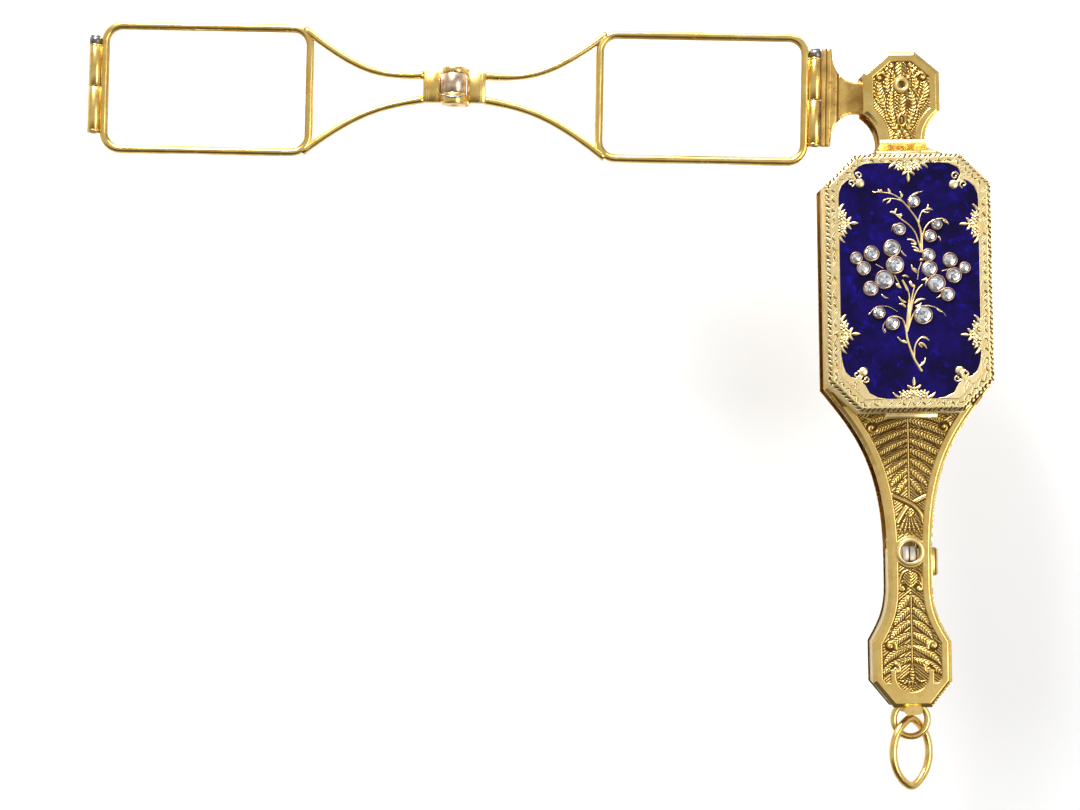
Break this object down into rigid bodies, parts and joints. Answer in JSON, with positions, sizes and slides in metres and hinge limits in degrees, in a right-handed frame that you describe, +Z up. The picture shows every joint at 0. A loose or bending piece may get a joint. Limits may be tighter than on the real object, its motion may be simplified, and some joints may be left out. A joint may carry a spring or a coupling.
{
  "type": "folding lorgnette",
  "caption": "Folding spectacles that spring out of a slim engraved handle with a lidded watch case.",
  "frame": {"origin": "in the middle of the handle's waist, where the fingers hold it", "axes": "+Z up the handle towards the pivot, +X to the right seen from the lid, +Y to the back; the open spectacles reach out along -X"},
  "size_m": [0.1256, 0.0109, 0.1091],
  "materials": {
    "gold": "polished yellow gold, engraved, worn along the edges",
    "lid_gold": "pale polished gold with an engraved border",
    "setting_gold": "dull rosy gold stone settings",
    "gilt": "matte gilt brass",
    "dark_steel": "darkened steel",
    "spring_steel": "spring steel",
    "blued_steel": "blued steel",
    "silver": "silver, slightly worn",
    "blue_enamel": "translucent deep blue enamel",
    "white_enamel": "white enamel",
    "lens_glass": "clear lens glass",
    "crystal": "clear watch crystal",
    "diamond": "rose-cut stones"
  },
  "bodies": {
    "handle": {"back_shell": "gold", "front_shell": "gold", "side_wall": "gold", "shoulder": "gold", "tail_block": "gold", "pivot_rivet": "gold", "stop_pin": "gold", "kick_spring": "spring_steel", "window_boss": "gold", "watch_box": "lid_gold", "lid_hinge_pin": "lid_gold", "watch_plate": "gilt", "movement": "gilt", "dial": "white_enamel", "dial_bezel": "lid_gold", "dial_crystal": "crystal", "catch_spring": "spring_steel", "ring_pin": "gold"},
    "near_spectacle": {"pivot_hub": "dark_steel", "arm": "gold", "near_rim": "gold", "near_lens": "lens_glass", "near_closing_screw": "dark_steel", "near_yoke": "gold", "bridge_pin": "dark_steel", "bridge_spring": "spring_steel"},
    "far_spectacle": {"far_rim": "gold", "far_lens": "lens_glass", "far_closing_screw": "dark_steel", "far_yoke": "gold"},
    "lid": {"lid_frame": "lid_gold", "enamel_panel": "blue_enamel", "stone_settings": "setting_gold", "rose_stones": "diamond", "lid_thumb_piece": "lid_gold"},
    "catch": {"slide_button": "gold", "catch_bolt": "dark_steel", "window_block": "silver"},
    "jump_ring": {"jump_ring": "gold"},
    "chain_ring": {"chain_ring": "gold"},
    "minute_hand": {"minute_hand": "blued_steel"},
    "hour_hand": {"hour_hand": "blued_steel"},
    "winder": {"winding_square": "dark_steel"}
  },
  "joints": [
    {"name": "glasses_swing", "type": "hinge", "parent": "handle", "child": "near_spectacle", "pos_m": [0, 0, 0.07], "axis": [0, -1, 0], "range_deg": [0, 75.6], "stiffness_Nm_per_rad": 0.003, "springref_deg": -143.24},
    {"name": "bridge_fold", "type": "hinge", "parent": "near_spectacle", "child": "far_spectacle", "pos_m": [-0.06227, 0, 0.07207], "axis": [0.0332, 0, 0.9995], "range_deg": [0, 180], "stiffness_Nm_per_rad": 0.0004, "springref_deg": -143.24},
    {"name": "lid_swing", "type": "hinge", "parent": "handle", "child": "lid", "pos_m": [0, -0.006, 0.05985], "axis": [-1, 0, 0], "range_deg": [0, 105]},
    {"name": "catch_slide", "type": "slide", "parent": "handle", "child": "catch", "axis": [0, 0, -1], "range_m": [0, 0.0012], "stiffness_N_per_m": 60, "springref_m": -0.0025, "deforming": ["catch_spring"]},
    {"name": "jump_ring_swing", "type": "hinge", "parent": "handle", "child": "jump_ring", "pos_m": [0, 0, -0.01664], "axis": [0, 1, 0], "range_deg": [-25, 25]},
    {"name": "chain_ring_turn", "type": "hinge", "parent": "jump_ring", "child": "chain_ring", "pos_m": [0, 0, -0.02269], "axis": [0, 0, 1], "range_deg": [0, 114]},
    {"name": "minute_hand_turn", "type": "hinge", "parent": "handle", "child": "minute_hand", "pos_m": [0, -0.0057, 0.04635], "axis": [0, 1, 0], "continuous": true},
    {"name": "hour_hand_turn", "type": "hinge", "parent": "handle", "child": "hour_hand", "pos_m": [0, -0.0055, 0.04635], "axis": [0, 1, 0], "continuous": true},
    {"name": "winding_turn", "type": "hinge", "parent": "handle", "child": "winder", "pos_m": [0, -0.005, 0.03435], "axis": [0, 1, 0], "continuous": true}
  ],
  "couplings": [
    {"joint": "hour_hand_turn", "follows": "minute_hand_turn", "ratio": 0.083333}
  ]
}
